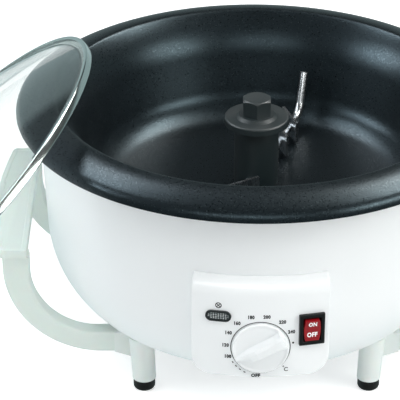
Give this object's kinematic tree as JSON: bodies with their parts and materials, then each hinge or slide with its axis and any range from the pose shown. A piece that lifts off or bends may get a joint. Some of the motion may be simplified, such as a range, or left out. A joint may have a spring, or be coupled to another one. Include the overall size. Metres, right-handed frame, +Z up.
{
  "type": "coffee bean roaster",
  "caption": "Countertop coffee bean roaster: white bowl housing on legs, black non-stick pan with driven stirrer, front controls, side handles and a loose glass lid.",
  "frame": {"origin": "on the pan's axis, in the plane that the four foot tips stand on", "axes": "+Z up along the pan's axis, -Y towards the control panel, +X towards the right-hand handle as seen from the front; the lid leans at -X"},
  "size_m": [0.4387, 0.2858, 0.1844],
  "materials": {
    "white_shell": "smooth white moulded plastic",
    "handle_plastic": "satin pale grey-green plastic",
    "foot_rubber": "black moulded rubber",
    "nonstick": "black speckled non-stick coating on cast aluminium",
    "dark_casting": "dark slate coated casting",
    "arm_steel": "stainless steel",
    "zinc_steel": "zinc-plated sheet steel",
    "screw_steel": "zinc-plated steel",
    "element_sheath": "heat-stained steel sheath",
    "motor_case": "plated steel can",
    "bronze": "sintered bronze",
    "silicone": "red-brown silicone",
    "black_plastic": "black moulded plastic",
    "spindle_brass": "turned brass",
    "terminal_brass": "stamped brass",
    "rocker_red": "translucent red plastic",
    "lamp_lens": "grey ribbed lens",
    "neon_glass": "clear glass bulb",
    "lid_glass": "clear tempered glass, faint green tint",
    "lid_band": "polished stainless steel",
    "lid_washer": "translucent silicone"
  },
  "bodies": {
    "base": {"base_plate": "zinc_steel", "base_screws": "screw_steel", "body_shell": "white_shell", "bracket_screws": "screw_steel", "control_panel": "white_shell", "cord_gland": "black_plastic", "foot_tip_back_left": "foot_rubber", "foot_tip_back_right": "foot_rubber", "foot_tip_front_left": "foot_rubber", "foot_tip_front_right": "foot_rubber", "gear_motor": "motor_case", "heat_shield": "zinc_steel", "heating_element": "element_sheath", "lamp_lens": "lamp_lens", "lamp_neon": "neon_glass", "lamp_rim": "black_plastic", "left_grip": "handle_plastic", "left_handle": "handle_plastic", "leg_back_left": "white_shell", "leg_back_right": "white_shell", "leg_front_left": "white_shell", "leg_front_right": "white_shell", "leg_screws": "screw_steel", "motor_bracket": "zinc_steel", "motor_screws": "screw_steel", "pan_gasket": "silicone", "pan_spacers": "zinc_steel", "right_grip": "handle_plastic", "right_handle": "handle_plastic", "roasting_pan": "nonstick", "shaft_bush": "bronze", "shaft_seal": "silicone", "shield_spacers": "zinc_steel", "switch_housing": "black_plastic", "switch_terminals": "terminal_brass", "terminal_block": "black_plastic", "thermostat": "black_plastic", "tie_screws": "screw_steel"},
    "stirrer": {"drive_shaft": "arm_steel", "motor_spindle": "arm_steel", "shaft_coupling": "zinc_steel", "stirrer_hub": "dark_casting", "hub_disc": "dark_casting", "hex_cap": "dark_casting", "stirrer_arm_a": "arm_steel", "stirrer_arm_b": "arm_steel"},
    "knob": {"temperature_knob": "white_shell", "thermostat_spindle": "spindle_brass"},
    "rocker": {"rocker": "rocker_red", "rocker_pin": "spindle_brass"},
    "lid": {"lid_glass": "lid_glass", "lid_band": "lid_band", "lid_knob": "black_plastic", "lid_washer": "lid_washer", "lid_screw": "screw_steel"}
  },
  "joints": [
    {"name": "stirrer_spin", "type": "hinge", "parent": "base", "child": "stirrer", "pos_m": [0, 0, 0.1], "axis": [0, 0, 1], "continuous": true},
    {"name": "knob_turn", "type": "hinge", "parent": "base", "child": "knob", "pos_m": [0, -0.1294, 0.0672], "axis": [0, 1, 0], "range_deg": [-48.5, 201]},
    {"name": "rocker_tilt", "type": "hinge", "parent": "base", "child": "rocker", "pos_m": [0.0271, -0.12535, 0.0777], "axis": [-0.9774, -0.2113, 0], "range_deg": [0, 12]},
    {"name": "lid_lift", "type": "slide", "parent": "base", "child": "lid", "axis": [-0.6838, 0.0406, 0.7285], "range_m": [0, 0.2]}
  ]
}
